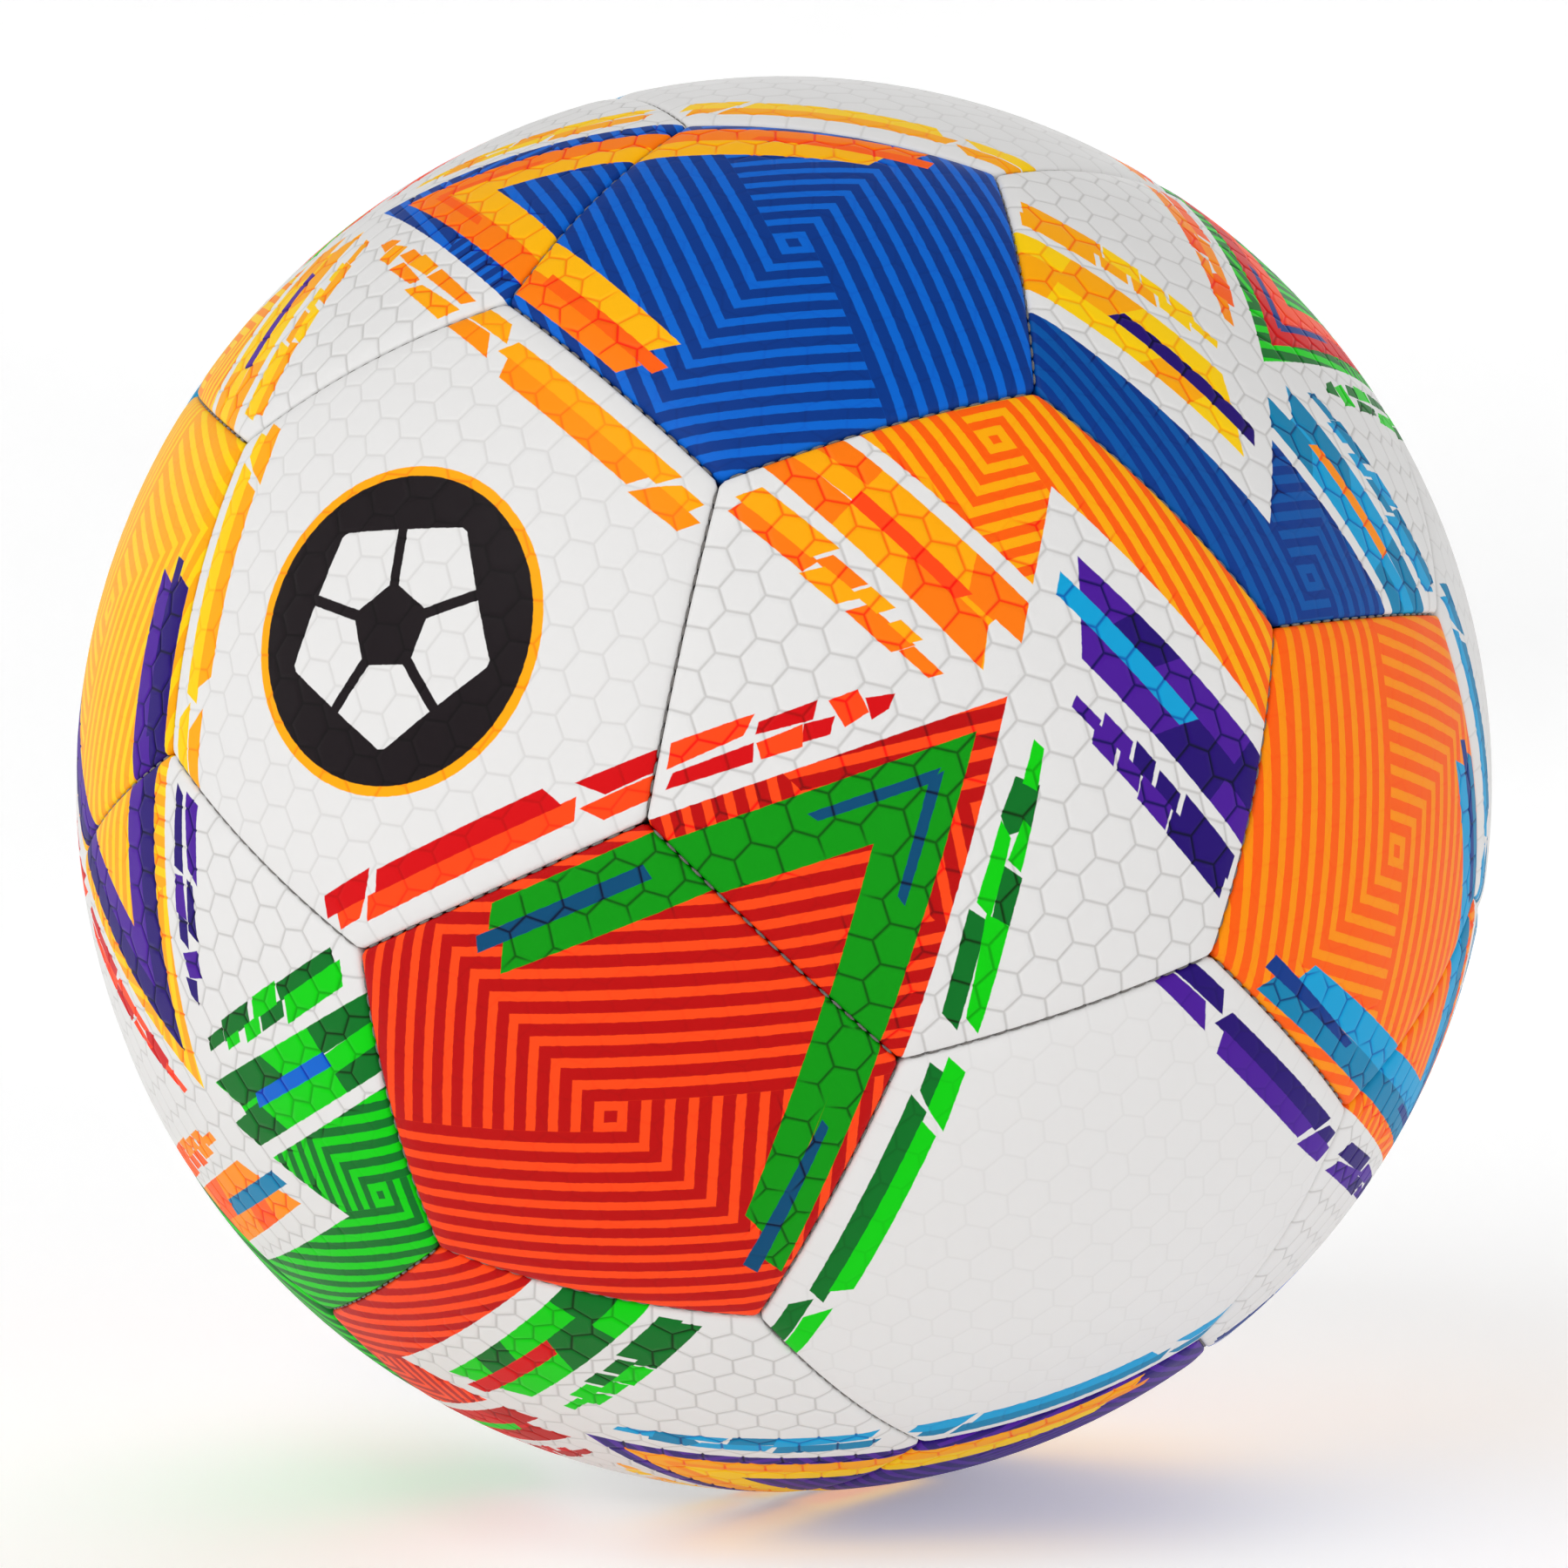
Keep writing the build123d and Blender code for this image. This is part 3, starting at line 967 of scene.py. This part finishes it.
PENTAGON_PRINTS = {colour: pentagon_print(colour) for colour in FAMILIES}
CHEVRON_PRINTS = {colour: chevron_print(colour) for colour in FAMILIES}
panels = {}
for number, (axis, colour) in enumerate(zip(AXES, PENTAGON_FAMILIES), start=1):
    panel_frame = upright_frame(axis, HEXAGON_CENTRES[HEXAGON_OF[number] - 1])
    panel = ball_panel(f"pentagon_cover_{number:02}", PENTAGON, panel_frame, pentagon_emboss)
    place_panel(panel, PENTAGON_PRINTS[colour], f"pentagon_panel_{number:02}")
    panels[panel.name] = panel
for number, (centre, trio) in enumerate(zip(HEXAGON_CENTRES, HEXAGONS), start=1):
    pentagon = CHEVRON_OF.get(number)
    panel_frame = upright_frame(centre, AXES[pentagon - 1 if pentagon else trio[0]])
    if pentagon:
        material = CHEVRON_PRINTS[PENTAGON_FAMILIES[pentagon - 1]]
        emboss = chevron_emboss
    else:
        material = plain_material(number, panel_frame)
        emboss = even_emboss(SMOOTH_DEPTH if number == SMOOTH_PANEL else PLAIN_DEPTH)
    panel = ball_panel(f"hexagon_cover_{number:02}", HEXAGON, panel_frame, emboss)
    place_panel(panel, material, f"hexagon_panel_{number:02}")
    panels[panel.name] = panel
print(f"{len(panels)} panels, {sum(len(panel.data.polygons) for panel in panels.values())} faces")

# %% [markdown]
# ## The valve hole
# The valve's rubber neck comes out through a round hole in one plain hexagon. The hole goes through a
# closed panel, so a Boolean modifier cuts it, and its result replaces the mesh.

# %% Valve hole
NECK_HOLE = 3.55
DRILL_LENGTH, DRILL_SIDES = 20, 48
valve_axis = HEXAGON_CENTRES[VALVE_PANEL - 1]
valve_panel = panels[f"hexagon_cover_{VALVE_PANEL:02}"]


def drill(panel, axis, radius):
    """Cuts a round hole through a panel at its centre."""
    bm = bmesh.new()
    place = axis.to_track_quat("Z", "Y").to_matrix().to_4x4() @ Matrix.Translation((0, 0, BALL_RADIUS * MM))
    bmesh.ops.create_cone(bm, cap_ends=True, segments=DRILL_SIDES, radius1=radius * MM, radius2=radius * MM,
                          depth=DRILL_LENGTH * MM, matrix=place)
    drill_bit = mesh_object("drill_bit", bm)
    cutter = panel.modifiers.new("hole", "BOOLEAN")
    cutter.operation, cutter.solver, cutter.object = "DIFFERENCE", "EXACT", drill_bit
    evaluated = panel.evaluated_get(bpy.context.evaluated_depsgraph_get())
    panel.data = bpy.data.meshes.new_from_object(evaluated)
    panel.modifiers.clear()
    bpy.data.objects.remove(drill_bit)


drill(valve_panel, valve_axis, NECK_HOLE)
print(f"valve hole {2 * NECK_HOLE} mm wide, panel now {len(valve_panel.data.polygons)} faces")

# %% [markdown]
# ## The stitches
# The panels are sewn edge to edge with waxed thread. From outside only the short spans that pull the
# two rims together show, down in the seam, with a dark gap after each one. A thread could be a curve, but
# nothing of it shows between the spans. So each span is a small sphere drawn out along the seam, and as
# there are about seventeen hundred of them, each has few faces. The stitches of one seam are made once.

# %% Stitches
STITCH_PITCH = 2.2
STITCH_LENGTH, STITCH_WIDTH = 1.9, 0.44
STITCH_DEPTH = 0.95
STITCH_SIDES = 6
SEAM_END = 1.2


def seam_between(start, end):
    """Frame of a seam: x across it, y along it, z outwards at its middle."""
    out = (start + end).normalized()
    along = (end - start).normalized()
    return Matrix((along.cross(out), along, out)).transposed().to_4x4()


def one_seam(angle):
    """The stitches of one seam, an arc of the ball centred on z and lying along y, as a mesh."""
    bm = bmesh.new()
    length = angle * BALL_RADIUS - 2 * SEAM_END
    count = round(length / STITCH_PITCH)
    size = Matrix.Diagonal((STITCH_WIDTH / 2, STITCH_LENGTH / 2, STITCH_WIDTH / 2, 1))
    sunk = Matrix.Translation((0, 0, BALL_RADIUS - STITCH_DEPTH))
    for k in range(count):
        along = ((k + 0.5) / count - 0.5) * length / BALL_RADIUS
        place = Matrix.Rotation(-along, 4, "X") @ sunk @ size
        bmesh.ops.create_uvsphere(bm, u_segments=STITCH_SIDES, v_segments=STITCH_SIDES,
                                  radius=1.0, matrix=place)
    bmesh.ops.recalc_face_normals(bm, faces=bm.faces)
    bm.transform(Matrix.Scale(MM, 4))
    mesh = bpy.data.meshes.new("one_seam")
    bm.to_mesh(mesh)
    bm.free()
    return mesh


def stitching(name, seams):
    """All stitches of one kind of seam as one piece. Every seam of the ball has the same length."""
    bm = bmesh.new()
    pattern = one_seam(seams[0][0].angle(seams[0][1]))
    for start, end in seams:
        copy = pattern.copy()
        copy.transform(seam_between(start, end))
        bm.from_mesh(copy)
        bpy.data.meshes.remove(copy)
    bpy.data.meshes.remove(pattern)
    return mesh_object(name, bm)


neighbour_pairs = [pair for pair in combinations(range(12), 2) if are_neighbours(*pair)]
hexagon_seams = [(pentagon_corner(i, j), pentagon_corner(j, i)) for i, j in neighbour_pairs]
pentagon_seams = [(pentagon_corner(i, j), pentagon_corner(i, k))
                  for i in range(12) for j, k in neighbour_pairs
                  if are_neighbours(i, j) and are_neighbours(i, k)]
print(f"{len(hexagon_seams)} seams between hexagons, {len(pentagon_seams)} round the pentagons")

# %% [markdown]
# ## The thread's finish
# The thread is polyester twisted from three plies and drawn through wax. It lies down in the seam, and its
# colour is darkened to a mid grey as painted shade of the seam, with darker patches of wax. The twist is
# far too fine to model on stitches half a millimetre thick: a wave texture across them, in the bump, is
# enough.

# %% Thread finish
WAX_SCALE, TWIST_SCALE = 900.0, 1400.0
TWIST_STRENGTH, TWIST_HEIGHT = 0.4, 0.0001
THREAD_ROUGHNESS, WAX_ROUGHNESS = 0.5, 0.2
# Both tones are greyed as painted shade of the seam; the darker one also marks the wax.
THREAD_PALE, THREAD_WAXED = ink(132, 128, 124), ink(88, 85, 83)


def thread_finish():
    """Waxed polyester with a fine twist, greyed as painted shade of the seam."""
    finish = Finish("waxed_thread", Sheen_Weight=0.15)
    place = finish.node("TexCoord", None, None, output=3)
    wax = finish.noise(place, WAX_SCALE)
    colour = finish.over(THREAD_PALE, THREAD_WAXED, wax)
    twist = finish.node("TexWave", {"bands_direction": "DIAGONAL"}, {"Vector": place, "Scale": TWIST_SCALE})
    relief = {"Strength": TWIST_STRENGTH, "Distance": TWIST_HEIGHT, "Height": twist}
    bump = finish.node("Bump", None, relief)
    roughness = THREAD_ROUGHNESS + wax * WAX_ROUGHNESS
    return finish.finish_with(Base_Color=colour, Roughness=roughness, Normal=bump)


THREAD = thread_finish()
for name, seams, node in (("hexagon_stitches", hexagon_seams, "hexagon_seam_threads"),
                          ("pentagon_stitches", pentagon_seams, "pentagon_seam_threads")):
    stitches = stitching(name, seams)
    place_panel(stitches, THREAD, node)
    print(f"{name}: {len(stitches.data.polygons)} faces")

# %% [markdown]
# ## Inside the ball
# Foam, cloth lining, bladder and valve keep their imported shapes. Only the valve's mouth shows, but each
# layer has its own finish, so that the ball can be opened: woven cloth, cellular foam, dusted rubber.

# %% Inner finishes
TONE_SCALE, TONE_ROUGHNESS = 60.0, 0.15


def layer_finish(name, dark, light, grain, roughness, bump_height):
    """A quiet material: two close tones, and a fine grain in the bump."""
    finish = Finish(name)
    place = finish.node("TexCoord", None, None, output=3)
    tone = finish.noise(place, TONE_SCALE)
    fine = finish.noise(place, grain, detail=4.0)
    bump = finish.node("Bump", None, {"Strength": 0.5, "Distance": bump_height, "Height": fine})
    colour = finish.over(dark, light, tone)
    return finish.finish_with(Base_Color=colour, Roughness=roughness + tone * TONE_ROUGHNESS, Normal=bump)


FOAM = layer_finish("pad_foam", ink(222, 216, 196), ink(240, 236, 222), 2500.0, 0.8, 0.0003)
LINING = layer_finish("lining_cloth_weave", ink(206, 204, 198), ink(226, 224, 218), 1800.0, 0.75, 0.0002)
BLADDER = layer_finish("bladder_rubber_dusted", ink(24, 24, 26), ink(44, 43, 44), 700.0, 0.5, 0.0001)
VALVE_RUBBER = layer_finish("valve_rubber_black", ink(14, 14, 15), ink(28, 28, 30), 1200.0, 0.38, 0.00005)
INNER_FINISHES = {
    "pentagon_foam_pads": FOAM, "hexagon_foam_pads": FOAM,
    "pentagon_linings": LINING, "hexagon_linings": LINING,
    "bladder": BLADDER, "valve_patch": BLADDER, "valve_housing": VALVE_RUBBER, "valve_core": VALVE_RUBBER,
}
for node, material in INNER_FINISHES.items():
    for material_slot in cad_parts[node].material_slots:
        material_slot.material = material
print(f"{len(INNER_FINISHES)} packed nodes kept with new finishes")

# %% [markdown]
# ## The studio's finish
# The bowl is matt white paper. Lit by the lamps alone it would come out grey behind the ball, and more
# lamps would wash out the inks, so the paper gives a little light of its own, as a backlit sweep does.

# %% Studio finish
PAPER_GLOW = 0.26
PAPER_MOTTLE = 3.0
studio = Finish("studio_paper", Roughness=0.9, Emission_Color=(1, 1, 1, 1), Emission_Strength=PAPER_GLOW)
mottle = studio.noise(studio.node("TexCoord", None, None, output=3), PAPER_MOTTLE)
paper = studio.over(ink(246, 246, 246), ink(250, 250, 250), mottle)
bowl.data.materials.append(studio.finish_with(Base_Color=paper))
print(f"studio paper with a glow of {PAPER_GLOW}")
